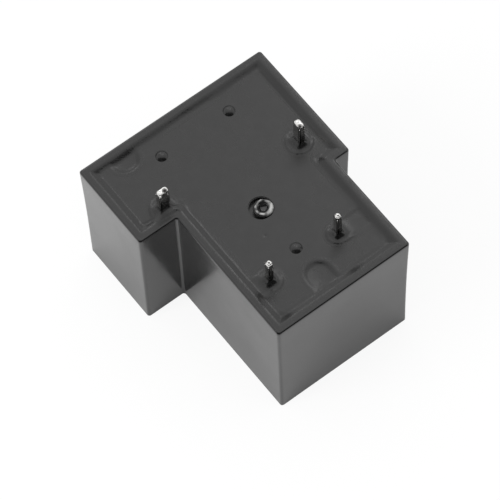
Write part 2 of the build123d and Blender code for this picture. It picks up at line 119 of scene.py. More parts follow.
def pieceFrom(name, bm, material, body="relay_body", sharpAngle=None):
    # A smooth piece of the relay; it rides on a body, or on none if it is to bend
    bmesh.ops.recalc_face_normals(bm, faces=bm.faces)
    piece = meshObject(name, bm)
    piece.data.polygons.foreach_set("use_smooth", [True] * len(piece.data.polygons))
    if sharpAngle:
        piece.data.set_sharp_from_angle(angle=math.radians(sharpAngle))
    piece.data.materials.append(material)
    if body:
        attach(piece, body)
    return piece


def mergedCopy(nodeName):
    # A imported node's mesh with its loose triangles joined
    bm = bmesh.new()
    bm.from_mesh(nodes[nodeName].data)
    bmesh.ops.remove_doubles(bm, verts=bm.verts, dist=mergeReach)
    return bm


def skin(bm, rings):
    # Quads between rings of points that match one by one
    made = [[bm.verts.new(point) for point in ring] for ring in rings]
    for lower, upper in zip(made, made[1:]):
        for i in range(len(lower)):
            k = (i + 1) % len(lower)
            bm.faces.new([lower[i], lower[k], upper[k], upper[i]])
    return made


def shadedSkin(rings, shades, shadeName, top):
    # A closed skin, flat below and drawn in to one point on top, with a shade on each point
    bm = bmesh.new()
    shadeLayer = bm.verts.layers.float.new(shadeName)
    made = skin(bm, rings)
    for ring, ringShades in zip(made, shades):
        for vertex, shade in zip(ring, ringShades):
            vertex[shadeLayer] = shade
    bm.faces.new(made[0])
    middle, last = bm.verts.new(top), made[-1]
    for i, corner in enumerate(last):
        bm.faces.new([middle, corner, last[(i + 1) % len(last)]])
    return bm


# Materials

noiseRange = (0.3, 0.7)  # where nearly all of a noise pattern lies

# stretches of a pattern along X, Y and Z: below 1 it is drawn out along that axis
even = (1, 1, 1)
drawnUpright = (1, 1, 0.04)
alongPin = (1, 1, 0.3)
alongFlow = (1, 0.6, 1)
alongSheet = (1, 0.08, 1)


def tonesAndGloss(tree, tonePattern, tones, glossPattern, glosses):
    # A colour between two hex tones by one pattern, and a roughness between two values by another
    colour = addNode(tree, "ShaderNodeMix", {"data_type": "RGBA"}, {
        0: tonePattern, 6: linearColour(tones[0]), 7: linearColour(tones[1])})
    gloss = addNode(tree, "ShaderNodeMapRange", inputs={
        "Value": glossPattern, "From Min": noiseRange[0], "From Max": noiseRange[1],
        "To Min": glosses[0], "To Max": glosses[1]})
    return colour.outputs[2], gloss


def closeMaterial(material, tree, colour, gloss, relief, **others):
    # The surface from its colour, its roughness and its relief: patterns with their heights in
    # millimetres, each laid over the one before, where a height below zero sinks in
    bump = None
    for pattern, height in relief:
        below = {"Normal": bump} if bump is not None else {}
        bump = addNode(tree, "ShaderNodeBump", {"invert": height < 0}, {
            "Height": pattern, "Distance": abs(height) * mm, **below})
    shader = addNode(tree, "ShaderNodeBsdfPrincipled", inputs={
        "Base Color": colour, "Roughness": gloss, "Normal": bump, **others})
    addNode(tree, "ShaderNodeOutputMaterial", inputs={"Surface": shader})
    return material


def mouldedCasePlastic():
    # Injection-moulded PBT, black: a clear sheen of its surroundings over a very fine
    # spark-eroded grain, with faint upright draw marks from the mould and a few dull rubs
    material, tree, (grain, drawMarks, rubs) = startMaterial("mouldedCasePlastic", [
        (0.22, 3.0, even),  # the real grain is about 0.03 mm; drawn coarser to show
        (0.6, 2.0, drawnUpright),
        (5, 3.0, even)])
    colour, gloss = tonesAndGloss(tree, rubs, ("#0c0c0c", "#141414"), rubs, (0.12, 0.19))
    # the grain's high parts are a little duller
    gloss = addNode(tree, "ShaderNodeMath", {"operation": "MULTIPLY_ADD"}, {
        0: grain, 1: 0.06, 2: gloss})
    relief = [(drawMarks, 0.002), (grain, 0.0018)]
    return closeMaterial(material, tree, colour, gloss, relief, IOR=1.6)


gateMark = {"place": (-1.28 * mm, -4.56 * mm, 19.45 * mm), "radius": 0.45 * mm, "depth": 0.05}


def mouldedBasePlastic():
    # The same black plastic, moulded flat: a finer, slightly duller grain, slow flow marks, a
    # mottled surface and the shallow dimple of its gate
    material, tree, (grain, flow, mottle) = startMaterial("mouldedBasePlastic", [
        (0.2, 3.0, even),  # drawn coarser to show, as the case's is
        (3.5, 3.0, alongFlow),
        (1.4, 4.0, even)])
    mottle.inputs["Roughness"].default_value = 0.6  # crisper than the other patterns
    place = addNode(tree, "ShaderNodeTexCoord").outputs["Object"]
    gatePlace = addNode(tree, "ShaderNodeMapping", {"vector_type": "TEXTURE"}, {
        "Vector": place, "Location": gateMark["place"], "Scale": [gateMark["radius"]] * 3})
    gate = addNode(tree, "ShaderNodeTexGradient", {"gradient_type": "QUADRATIC_SPHERE"}, {
        "Vector": gatePlace})
    colour, gloss = tonesAndGloss(tree, mottle, ("#080808", "#1c1c1c"), flow, (0.24, 0.32))
    relief = [(flow, 0.03), (gate, -gateMark["depth"]), (grain, 0.003)]
    return closeMaterial(material, tree, colour, gloss, relief, IOR=1.55)


def curedSealingResin():
    # Black epoxy, poured and cured: in places glossier than the base, with slow waves, dull
    # patches and small grains of filler and dust
    material, tree, (waves, grains, patches) = startMaterial("curedSealingResin", [
        (1.8, 2.0, even), (0.24, 2.0, even), (4, 2.0, even)])
    # only the highest parts of the pattern stand up as grains
    raised = addNode(tree, "ShaderNodeMapRange", inputs={
        "Value": grains, "From Min": 0.5, "From Max": 0.8})
    colour, gloss = tonesAndGloss(tree, patches, ("#0c0c0c", "#161616"), patches, (0.2, 0.32))
    relief = [(waves, 0.015), (raised, 0.008)]
    return closeMaterial(material, tree, colour, gloss, relief, IOR=1.55)


def clearVentResin():
    # The vent's drop of clear resin over black plastic: very glossy and uneven, with a painted
    # highlight: a pale colour along its ring
    material, tree, (lumps,) = startMaterial("clearVentResin", [(0.5, 2.0, even)])
    paintedLight = addNode(tree, "ShaderNodeAttribute", {"attribute_name": "paintedHighlight"}).outputs["Fac"]
    over, gloss = tonesAndGloss(tree, lumps, ("#101010", "#262626"), lumps, (0.04, 0.12))
    # painted highlight: the ring is coloured pale where the mesh marks it, standing in for its
    # bright reflections
    colour = addNode(tree, "ShaderNodeMix", {"data_type": "RGBA"}, {
        0: paintedLight, 6: over, 7: linearColour("#c0c0be")}).outputs[2]
    return closeMaterial(material, tree, colour, gloss, [(lumps, 0.02)], IOR=1.6)


def tinnedCopper():
    # Copper strip dipped in solder: a smooth bright grey mirror with soft runs along the pin, a
    # slight bloom, and a painted dark reflection along the corner toward the camera and in the dish
    # of its end
    material, tree, (runs, bloom) = startMaterial("tinnedCopper", [
        (0.5, 2.0, alongPin), (0.9, 3.0, even)])
    bright, gloss = tonesAndGloss(tree, bloom, ("#cccbc9", "#e6e5e3"), bloom, (0.12, 0.22))
    darkPaint = addNode(tree, "ShaderNodeAttribute", {"attribute_name": "paintedDarkReflection"}).outputs["Fac"]
    # painted dark reflection: a dark colour where the mesh marks the corner toward the camera and
    # the dish of the end
    colour = addNode(tree, "ShaderNodeMix", {"data_type": "RGBA"}, {
        0: darkPaint, 6: bright, 7: linearColour("#2a2827")}).outputs[2]
    return closeMaterial(material, tree, colour, gloss, [(runs, 0.006)], Metallic=1.0)


def rolledMetal(name, tones, glosses, grainSize, stretch):
    # A metal, its plating or its enamel: fine marks along the way it was worked, and slow changes
    # of tone
    material, tree, (marks, bloom) = startMaterial(name, [
        (grainSize, 3.0, stretch), (2.5, 2.0, even)])
    colour, gloss = tonesAndGloss(tree, bloom, tones, marks, glosses)
    return closeMaterial(material, tree, colour, gloss, [(marks, 0.002)], Metallic=1.0)


def innerPlastic(name, tones, glosses, grainSize):
    # Plastic inside the relay, moulded or rolled to a film, with a fine matt grain
    material, tree, (marks, slow) = startMaterial(name, [(grainSize, 3.0, even), (3, 2.0, even)])
    colour, gloss = tonesAndGloss(tree, slow, tones, marks, glosses)
    return closeMaterial(material, tree, colour, gloss, [(marks, 0.004)], IOR=1.5)


casePlastic = mouldedCasePlastic()
basePlastic = mouldedBasePlastic()
sealResin = curedSealingResin()
ventResin = clearVentResin()
tinned = tinnedCopper()
nickelSteel = rolledMetal("nickelPlatedSteel", ("#a9a69e", "#c4c1b8"), (0.22, 0.36), 0.3, even)
springSteel = rolledMetal(
    "rolledSpringSteel", ("#8e8d8a", "#a8a7a3"), (0.2, 0.34), 0.25, alongSheet)
bronze = rolledMetal("rolledCopperAlloy", ("#a96f45", "#c08a5c"), (0.2, 0.36), 0.25, alongSheet)
copperStrands = rolledMetal("bareCopperStrands", ("#a2603c", "#c27c55"), (0.24, 0.42), 0.2, even)
silverFace = rolledMetal("silverAlloyContact", ("#b9b7b1", "#d6d4ce"), (0.2, 0.4), 0.15, even)
rivetBrass = rolledMetal("turnedBrass", ("#a58a4e", "#c4a863"), (0.2, 0.34), 0.2, even)
enamelWire = rolledMetal("enamelledCopperWire", ("#8f4a26", "#b5653a"), (0.18, 0.3), 0.4, even)
bobbinPlastic = innerPlastic("mouldedBobbinPlastic", ("#1f1f20", "#2a2a2b"), (0.36, 0.5), 0.2)
tapeFilm = innerPlastic("polyesterTape", ("#a88a2f", "#bb9c3b"), (0.18, 0.3), 0.6)

finishes = {
    "case": casePlastic, "base": basePlastic, "sealing_resin": sealResin, "vent_bead": ventResin,
    "yoke": nickelSteel, "core": nickelSteel, "armature": nickelSteel,
    "hinge_spring": springSteel, "contact_blade": bronze, "braid": copperStrands,
    "bobbin": bobbinPlastic, "winding": enamelWire, "coil_leads": enamelWire, "coil_tape": tapeFilm,
    "left_coil_pin": tinned, "right_coil_pin": tinned, "load_terminal": tinned,
    "common_terminal": tinned, "fixed_contact": silverFace, "moving_contact": silverFace,
    "blade_rivets": rivetBrass, "spring_rivets": rivetBrass, "yoke_rivets": rivetBrass,
}
for nodeName, finish in finishes.items():
    nodes[nodeName].data.materials.clear()
    nodes[nodeName].data.materials.append(finish)
print("materials made")


# The case's T outline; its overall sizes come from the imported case
caseLow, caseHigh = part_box("case")
rimZ = caseHigh.z
outline = {
    "leftNotch": 5.5 * mm, "leftBarDepth": 12.4 * mm,
    "rightNotch": 2.25 * mm, "rightBarDepth": 17.75 * mm,
    "rimWall": 0.8 * mm, "innerCorner": 0.3 * mm, "outerCorner": 0.35 * mm,
    "pointStep": 0.2 * mm, "arcSteps": 6,
}


def outlineCorners(inset):
    # Corners of the T, counter-clockwise from the stem's left end, each side moved in by inset
    left, right = caseLow.x, caseHigh.x
    low, top = caseLow.y, caseHigh.y
    stemLeft, stemRight = left + outline["leftNotch"], right - outline["rightNotch"]
    leftStep, rightStep = top - outline["leftBarDepth"], top - outline["rightBarDepth"]
    return [
        Vector((stemLeft + inset, low + inset)), Vector((stemRight - inset, low + inset)),
        Vector((stemRight - inset, rightStep + inset)), Vector((right - inset, rightStep + inset)),
        Vector((right - inset, top - inset)), Vector((left + inset, top - inset)),
        Vector((left + inset, leftStep + inset)), Vector((stemLeft + inset, leftStep + inset)),
    ]


def outlineLoop(inset, corner):
    # Points round the T with rounded corners; loops of any inset match point by point
    corners = outlineCorners(inset)
    guide = outlineCorners(outline["rimWall"])
    points = []
    for i, here in enumerate(corners):
        before, after = corners[i - 1], corners[(i + 1) % len(corners)]
        toBefore, toAfter = (before - here).normalized(), (after - here).normalized()
        centre = here + (toBefore + toAfter) * corner
        for k in range(outline["arcSteps"] + 1):
            turn = math.pi / 2 * k / outline["arcSteps"]
            points.append(centre - (toAfter * math.cos(turn) + toBefore * math.sin(turn)) * corner)
        start, end = points[-1], after - toAfter * corner
        side = (guide[(i + 1) % len(guide)] - guide[i]).length
        count = max(2, round(side / outline["pointStep"]))
        points.extend(start.lerp(end, k / count) for k in range(1, count))
    return np.array([[p.x, p.y] for p in points])


def flatLoops(nodeName, level):
    # Outlines of the flat faces that a CAD node has at one height, as arrays of points
    mesh = nodes[nodeName].data
    ids, places, edges = {}, [], set()
    for polygon in mesh.polygons:
        corners = [mesh.vertices[i].co for i in polygon.vertices]
        if all(abs(c.z - level) < levelReach for c in corners):
            ring = []
            for c in corners:
                key = (round(c.x, 6), round(c.y, 6))
                if key not in ids:
                    ids[key] = len(places)
                    places.append(key)
                ring.append(ids[key])
            edges.update(zip(ring, ring[1:] + ring[:1]))
    onward = {a: b for a, b in edges if (b, a) not in edges}
    loops = []
    while onward:
        start, here = onward.popitem()
        loop = [start]
        while here != start:
            loop.append(here)
            here = onward.pop(here)
        loops.append(np.array([places[i] for i in loop]))
    return loops


def refined(loop, step):
    # The same outline with its long edges divided
    points = []
    for a, b in zip(loop, np.roll(loop, -1, axis=0)):
        count = max(1, math.ceil(np.linalg.norm(b - a) / step))
        points.extend(a + (b - a) * k / count for k in range(count))
    return np.array(points)


def distanceTo(points, loop):
    # Distance of each point to the nearest edge of an outline
    best = np.full(len(points), np.inf)
    for a, b in zip(loop, np.roll(loop, -1, axis=0)):
        along = b - a
        share = np.clip(((points - a) @ along) / (along @ along), 0, 1)
        best = np.minimum(best, np.linalg.norm(points - a - share[:, None] * along, axis=1))
    return best


def nearestOf(points, loops):
    # Distance of each point to the nearest of several outlines
    return np.min([distanceTo(points, loop) for loop in loops], axis=0)


def insideOf(points, loops):
    # True where a point is inside an odd number of outlines
    inside = np.zeros(len(points), bool)
    for loop in loops:
        for (x1, y1), (x2, y2) in zip(loop, np.roll(loop, -1, axis=0)):
            if y1 == y2:
                continue
            crosses = (points[:, 1] > min(y1, y2)) & (points[:, 1] <= max(y1, y2))
            x = x1 + (points[:, 1] - y1) * (x2 - x1) / (y2 - y1)
            inside ^= crosses & (points[:, 0] < x)
    return inside


def unevenness(points, amount, size, seed):
    # Smooth noise at each point of a plan, between minus and plus the amount
    return amount * np.array([noise.noise(Vector((x / size, y / size, seed))) for x, y in points])


def easedFall(share):
    # From 1 softly down to 0 while the share goes from 0 to 1
    return 0.5 + 0.5 * np.cos(np.pi * np.minimum(share, 1))


def pointRuns(loops, first=0):
    # The numbers of each outline's points, where the outlines stand one after another
    starts = np.cumsum([first] + [len(loop) for loop in loops]).tolist()
    return [list(range(start, start + len(loop))) for start, loop in zip(starts, loops)]


def triangulated(points, loops, holes):
    # Triangles between outlines; loops are runs of point numbers that stay edges
    edges = [pair for loop in loops for pair in zip(loop, loop[1:] + loop[:1])]
    coords = [Vector((x / mm, y / mm)) for x, y in points]
    sameCorner = 1e-7  # in millimetres, as the points are here
    _, _, faces, origins, _, _ = delaunay_2d_cdt(coords, edges, [], 0, sameCorner)
    faces = np.array([[origins[i][0] for i in face] for face in faces])
    centres = points[faces].mean(axis=1)
    return faces[insideOf(centres, holes)]


# Case: the moulded shell again with what the solid leaves out, a rounded rim, the walls' slight
# sinking in and the faint ledge round the base's seat
shell = {
    "wall": 1.1 * mm, "closedWall": 1.0 * mm, "seatDepth": 2.85 * mm, "draft": 0.15 * mm,
    "rimRound": 0.26 * mm, "endRound": 0.35 * mm, "roundSteps": 6, "sideSteps": 34,
    "sink": 0.05 * mm, "sinkSize": 11 * mm, "ripple": 0.006 * mm, "rippleSize": 3 * mm,
    "ledge": 0.02 * mm, "ledgeDepth": 2.6 * mm, "ledgeWidth": 0.55 * mm, "ledgeSharpness": 6,
    "padClear": 0.5 * mm, "padRound": 0.2 * mm, "padSteps": 4, "sharpAngle": 50,
}


def shellInsets(z):
    # How far in the outer wall lies at a height, at each point of its outline
    outer = outlineLoop(0, outline["outerCorner"])
    share = (z - caseLow.z) / (rimZ - caseLow.z)
    fade = math.sin(math.pi * min(1, max(0, share)))
    insets = []
    for x, y in outer:
        slow = noise.noise(Vector((x, y, z)) / shell["sinkSize"])
        quick = noise.noise(Vector((x, y, z)) / shell["rippleSize"])
        insets.append(fade * (shell["sink"] * (0.5 + 0.5 * slow) + shell["ripple"] * quick))
    depth = (rimZ - z - shell["ledgeDepth"]) / shell["ledgeWidth"]
    ledge = shell["ledge"] / (1 + math.exp(-shell["ledgeSharpness"] * depth))
    return np.array(insets) + shell["draft"] * (1 - share) + ledge * fade


def buildCaseShell():
    corner = outline["outerCorner"]
    outer = outlineLoop(0, corner)
    inward = (outlineLoop(mm, corner) - outer) / mm
    rimRound, endRound = shell["rimRound"], shell["endRound"]
    rings = []

    def ring(inset, z):
        place = outer + inward * np.reshape(inset, (-1, 1))
        rings.append([(x, y, z) for x, y in place])

    for k in range(shell["roundSteps"] + 1):
        turn = math.pi / 2 * (1 - k / shell["roundSteps"])
        low = caseLow.z + endRound * (1 - math.cos(turn))
        ring(shellInsets(low) + endRound * (1 - math.sin(math.pi / 2 - turn)), low)
    start, end = caseLow.z + endRound, rimZ - rimRound
    for k in range(1, shell["sideSteps"] + 1):
        z = start + (end - start) * k / shell["sideSteps"]
        ring(shellInsets(z), z)
    for k in range(1, shell["roundSteps"] + 1):
        turn = math.pi / 2 * k / shell["roundSteps"]
        ring(rimRound * (1 - math.cos(turn)), rimZ - rimRound * (1 - math.sin(turn)))
    seatZ, floorZ = rimZ - shell["seatDepth"], caseLow.z + shell["closedWall"]
    seat = outlineLoop(outline["rimWall"], outline["innerCorner"])
    inner = outlineLoop(shell["wall"], outline["innerCorner"])
    for loop, z in ((seat, rimZ), (seat, seatZ), (inner, seatZ), (inner, floorZ)):
        rings.append([(x, y, z) for x, y in loop])
    bm = bmesh.new()
    made = skin(bm, rings)
    for ends, plan in ((made[0], np.array(rings[0])[:, :2]), (made[-1], inner)):
        for face in triangulated(plan, pointRuns([plan]), [plan]):
            bm.faces.new([ends[i] for i in face])
    # the pad that stops the contact blade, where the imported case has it
    places = np.array([vertex.co for vertex in nodes["case"].data.vertices])
    held = insideOf(places[:, :2], [inner]) & (distanceTo(places[:, :2], inner) > shell["padClear"])
    padLow, padHigh = places[held].min(axis=0), places[held].max(axis=0)
    middle, size = (padLow + padHigh) / 2, padHigh - padLow
    pad = bmesh.ops.create_cube(bm, size=1)["verts"]
    bmesh.ops.scale(bm, verts=pad, vec=size + [0, 0, shell["padRound"]])
    bmesh.ops.translate(bm, verts=pad, vec=middle - [0, 0, shell["padRound"] / 2])
    padEdges = {edge for vertex in pad for edge in vertex.link_edges}
    kept = [edge for edge in padEdges if max(v.co.z for v in edge.verts) > middle[2]]
    bmesh.ops.bevel(bm, geom=kept, offset=shell["padRound"], segments=shell["padSteps"],
                    affect="EDGES")
    piece = pieceFrom("caseShell", bm, casePlastic,
                      sharpAngle=shell["sharpAngle"])
    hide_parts("case")
    return piece


print("case shell:", len(buildCaseShell().data.polygons), "faces")


# Sealing resin: poured into the channel, pockets and wells. It climbs the rim and runs out over
# it in a thin film, laps onto the plateau's edges, and climbs each pin
resin = {
    "gridStep": 0.13 * mm, "edgeStep": 0.2 * mm, "keepClear": 0.07 * mm, "sharpAngle": 50,
    "level": 0.07 * mm, "rimClimbWidth": 1.25 * mm, "edgeClimbWidth": 0.75 * mm,
    "pinClimb": 0.72 * mm, "pinClimbWidth": 0.5 * mm,
    "filmHeight": 0.016 * mm, "filmEdge": 0.003 * mm, "filmWidth": 0.5 * mm,
    "lapHeight": 0.014 * mm, "lapWidth": 0.36 * mm, "lapApart": 0.97,
    # unevenness: how much, its size and its seed
    "wave": (0.035 * mm, 3.2 * mm, 3), "ripple": (0.006 * mm, 0.9 * mm, 9),
    "climbVary": (0.1, 2.2 * mm, 5), "filmVary": (0.1 * mm, 1.3 * mm, 21),
    "lapVary": (0.05 * mm, 1.1 * mm, 33),
    # places where the resin has drawn away from the rim: x, y, reach in millimetres, and share
    "hollows": [(1.6, 15.5, 2.3, 0.12), (11.0, -13.3, 0.5, 0.4), (13.2, 13.1, 0.5, 0.3)],
    # low places, as over the wells: x, y, reach and depth, in millimetres
    "dips": [(-8.3, 13.2, 1.5, 0.1), (0.9, -12.5, 1.7, 0.12), (-11.0, 5.6, 0.7, 0.12),
             (11.0, -13.3, 0.6, 0.2)],
}
floorZ = min(v.co.z for v in nodes["sealing_resin"].data.vertices)
channelLoops = flatLoops("sealing_resin", floorZ)
channelLoops.sort(key=lambda loop: -np.ptp(loop[:, 0]) * np.ptp(loop[:, 1]))
print("channel outlines:", len(channelLoops))


def fromSpot(points, x, y, reach):
    # How many reaches each point is away from a spot that is given in millimetres
    return np.hypot(points[:, 0] - x * mm, points[:, 1] - y * mm) / (reach * mm)


def resinHeights(points, rimLoop, filmLoop, edgeLoops, lapLoops, pinLoops):
    # Height of the resin's surface at each point of the plan
    level = plateauZ - resin["level"]
    level = level + unevenness(points, *resin["wave"]) + unevenness(points, *resin["ripple"])
    for x, y, reach, depth in resin["dips"]:
        level -= depth * mm * np.exp(-fromSpot(points, x, y, reach)**4)
    thinning = np.ones(len(points))
    for x, y, reach, share in resin["hollows"]:
        thinning -= share * np.exp(-fromSpot(points, x, y, reach)**2)
    width = resin["rimClimbWidth"] * thinning * (1 + unevenness(points, *resin["climbVary"]))
    fromRim, fromEdge = distanceTo(points, rimLoop), nearestOf(points, edgeLoops)
    climb = easedFall(fromRim / width)
    edgeClimb = easedFall(fromEdge / resin["edgeClimbWidth"])
    top, crest = rimZ + resin["filmHeight"], plateauZ + resin["lapHeight"]
    heights = level + (top - level) * climb + (crest - level) * edgeClimb * (1 - climb)
    fromPin = nearestOf(points, pinLoops)
    heights += resin["pinClimb"] * np.exp(-fromPin / resin["pinClimbWidth"])
    # the laps thin out over the plateau, and the film over the rim
    inward = fromEdge / (fromEdge + nearestOf(points, lapLoops) + leastWidth)
    thinned = easedFall(inward)
    lap = plateauZ + resin["filmEdge"] + (resin["lapHeight"] - resin["filmEdge"]) * thinned
    onPlateau = insideOf(points, edgeLoops) | (fromEdge < onLine)
    outward = fromRim / (fromRim + distanceTo(points, filmLoop) + leastWidth)
    film = rimZ + resin["filmEdge"] + (resin["filmHeight"] - resin["filmEdge"]) * (1 - outward**2)
    onRim = ~insideOf(points, [rimLoop]) | (fromRim < onLine)
    return np.where(onRim, film, np.where(onPlateau, lap, heights))


def lappedLoop(loop, plateauLoops):
    # An edge of the plateau moved onto it by the lap's uneven width, without the points that
    # would come too near another edge
    along = np.roll(loop, -1, axis=0) - np.roll(loop, 1, axis=0)
    across = np.column_stack([along[:, 1], -along[:, 0]]) / np.linalg.norm(along, axis=1)[:, None]
    if insideOf(loop + across * resin["keepClear"], plateauLoops).mean() < 0.5:
        across = -across
    reach = resin["lapWidth"] + unevenness(loop, *resin["lapVary"])
    moved = loop + across * reach[:, None]
    kept = insideOf(moved, plateauLoops)
    for other in plateauLoops:
        kept &= distanceTo(moved, other) > resin["lapApart"] * reach
    return moved[kept]


def buildSealingResin():
    rimLoop = outlineLoop(outline["rimWall"], outline["innerCorner"])
    outerLoop = outlineLoop(0, outline["innerCorner"])
    ragged = resin["filmWidth"] + unevenness(rimLoop, *resin["filmVary"])
    filmLoop = rimLoop + (outerLoop - rimLoop) * (ragged / outline["rimWall"])[:, None]
    inner = [refined(loop, resin["edgeStep"]) for loop in channelLoops[1:]]
    edgeLoops, pinLoops = inner[:2], inner[2:]
    lapLoops = [lappedLoop(loop, edgeLoops) for loop in edgeLoops]
    xs = np.arange(caseLow.x, caseHigh.x, resin["gridStep"])
    ys = np.arange(caseLow.y, caseHigh.y, resin["gridStep"])
    grid = np.stack(np.meshgrid(xs, ys), -1).reshape(-1, 2)
    borders = [filmLoop] + lapLoops + pinLoops
    grid = grid[insideOf(grid, borders)]
    loops = [filmLoop, rimLoop] + edgeLoops + lapLoops + pinLoops
    for loop in loops:
        grid = grid[distanceTo(grid, loop) > resin["keepClear"]]
    runs = pointRuns(loops)
    topFilm, topLaps, topPins = runs[0], runs[4:6], runs[6:]
    plan = np.concatenate(loops + [grid])
    heights = resinHeights(plan, rimLoop, filmLoop, edgeLoops, lapLoops, pinLoops)
    faces = triangulated(plan, runs, borders).tolist()
    places = [np.column_stack([plan, heights])]

    def layer(outlines, level):
        # More points under the surface; returns a run of point numbers for each outline
        made = pointRuns(outlines, sum(map(len, places)))
        joined = np.concatenate(outlines)
        places.append(np.column_stack([joined, np.full(len(joined), level)]))
        return made

    def flat(outlines, made):
        # Triangles that look down, between outlines on one layer
        joined, order = np.concatenate(outlines), np.concatenate(made)
        return order[triangulated(joined, pointRuns(outlines), outlines)[:, ::-1]].tolist()

    low = [rimLoop] + inner
    lowRuns = layer(low, floorZ)
    hair = resin["filmEdge"] / 3  # the film and the laps stand this far off the plastic
    underRim, underFilm = layer([rimLoop, filmLoop], rimZ + hair)
    ledge = edgeLoops + lapLoops
    ledgeRuns = layer(ledge, plateauZ + hair)
    faces += flat(low, lowRuns) + flat(ledge, ledgeRuns)
    walls = [(lowRuns[0], underRim), (underRim, underFilm), (underFilm, topFilm)]
    walls += list(zip(lowRuns[1:3], ledgeRuns[:2])) + list(zip(ledgeRuns[2:], topLaps))
    walls += list(zip(lowRuns[3:], topPins))
    for lower, upper in walls:
        for a, b, c, d in zip(lower, lower[1:] + lower[:1], upper[1:] + upper[:1], upper):
            faces.append([a, b, c, d])
    bm = bmesh.new()
    corners = [bm.verts.new(p) for p in np.concatenate(places)]
    for face in faces:
        bm.faces.new([corners[i] for i in face])
    piece = pieceFrom("sealingResin", bm, sealResin,
                      sharpAngle=resin["sharpAngle"])
    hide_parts("sealing_resin")
    return piece


nubHeight = 0.4 * mm
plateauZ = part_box("base")[1].z - nubHeight
print("sealing resin:", len(buildSealingResin().data.polygons), "faces")


# Base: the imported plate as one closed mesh, with the rim of the vent's recess rounded
basePlate = {
    "recessReach": 2.6 * mm, "edgeRound": 0.09 * mm, "edgeSteps": 4,
    "edgeAngle": 60, "sharpAngle": 35, "levelNormal": 0.9999,
}


def buildBasePlate():
    low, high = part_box("vent_bead")
    middle = ((low + high) / 2).xy
    bm = mergedCopy("base")
    rim = [edge for edge in bm.edges
           if edge.calc_face_angle() > math.radians(basePlate["edgeAngle"])
           and all(abs(v.co.z - plateauZ) < levelReach for v in edge.verts)
           and all((v.co.xy - middle).length < basePlate["recessReach"] for v in edge.verts)]
    bmesh.ops.bevel(bm, geom=rim, offset=basePlate["edgeRound"], segments=basePlate["edgeSteps"],
                    affect="EDGES")
    piece = pieceFrom("basePlate", bm, basePlastic,
                      sharpAngle=basePlate["sharpAngle"])
    for polygon in piece.data.polygons:
        # level faces keep their own normal beside the rounded rim
        polygon.use_smooth = abs(polygon.normal.z) < basePlate["levelNormal"]
    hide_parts("base")
    print("base:", len(rim), "edges rounded")


buildBasePlate()


# Vent: a drop of resin melted over the nib, with a raised ring and a dished middle; on one side
# it has run down into the recess. Its ring carries a painted highlight
vent = {
    "ringRadius": 0.92 * mm, "ringWidth": 0.3 * mm, "ringHeight": 0.22 * mm, "crestVary": 0.35,
    "reach": 1.26 * mm, "overflow": 0.12 * mm, "overflowSide": -40, "fall": 0.16 * mm,
    "fallFrom": 0.8, "dish": 0.34 * mm, "dishRadius": 0.55 * mm, "nibLevel": 0.82 * mm,
    "hole": 0.58 * mm, "holeLevel": 0.4 * mm, "turns": 96, "rings": 40,
    "wobble": 0.06 * mm, "wobblePace": 1.3, "wobbleSeed": 4.0,
    "ripple": 0.03 * mm, "rippleSize": 0.4 * mm,
    # the painted highlight on the ring is widest on one side, in degrees, and broken by noise
    "highlightSide": -50, "highlightWidth": 0.13 * mm, "highlightLean": 0.13 * mm, "highlightShare": 0.75,
    "highlightLeast": 0.2, "highlightSideGain": 0.75, "highlightBreak": 1.1, "highlightSeed": 5,
}


def buildVentDrop():
    low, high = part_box("vent_bead")
    centreX, centreY = (low.x + high.x) / 2, (low.y + high.y) / 2
    nibZ = low.z + vent["nibLevel"]
    turns = [2 * math.pi * i / vent["turns"] for i in range(vent["turns"])]
    rings = [[(centreX + vent["hole"] * math.cos(t), centreY + vent["hole"] * math.sin(t), z)
              for t in turns] for z in (low.z, nibZ - vent["holeLevel"])]
    shades = [[0.0] * len(turns) for _ in rings]
    for j in range(vent["rings"], 0, -1):
        ring, highlightRing = [], []
        for turn in turns:
            lean = max(0, math.cos(turn - math.radians(vent["overflowSide"])))
            highlightLean = max(0, math.cos(turn - math.radians(vent["highlightSide"])))
            wobble = noise.noise(Vector((math.cos(turn) * vent["wobblePace"],
                                         math.sin(turn) * vent["wobblePace"], vent["wobbleSeed"])))
            edge = vent["reach"] + vent["overflow"] * lean**2 + vent["wobble"] * wobble
            r = edge * j / vent["rings"]
            ringAt = vent["ringRadius"] + (wobble + lean) * vent["wobble"]
            crest = vent["ringHeight"] * (1 + vent["crestVary"] * wobble)
            z = nibZ + crest * math.exp(-((r - ringAt) / vent["ringWidth"]) ** 2)
            z -= vent["dish"] * math.exp(-((r / vent["dishRadius"]) ** 4))
            fall = max(0.0, (r / edge - vent["fallFrom"]) / (1 - vent["fallFrom"]))
            z -= (z - nibZ + vent["fall"]) * fall**2
            here = Vector((r * math.cos(turn), r * math.sin(turn), 0))
            z += vent["ripple"] * noise.noise(here / vent["rippleSize"])
            ring.append((centreX + here.x, centreY + here.y, z))
            # painted highlight: a pale share along the ring's crest, widest toward one side and
            # broken by noise
            spread = (r - ringAt) / (vent["highlightWidth"] + vent["highlightLean"] * highlightLean)
            highlightNoise = noise.noise(here / vent["rippleSize"] + Vector((0, 0, vent["highlightSeed"])))
            broken = vent["highlightLeast"] + vent["highlightSideGain"] * highlightLean
            broken = min(1, max(0, broken + vent["highlightBreak"] * highlightNoise))
            highlightRing.append(vent["highlightShare"] * math.exp(-(spread**4)) * broken)
        rings.append(ring)
        shades.append(highlightRing)
    bm = shadedSkin(rings, shades, "paintedHighlight", (centreX, centreY, nibZ - vent["dish"]))
    piece = pieceFrom("ventDrop", bm, ventResin)
    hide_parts("vent_bead")


buildVentDrop()
print("vent drop made")
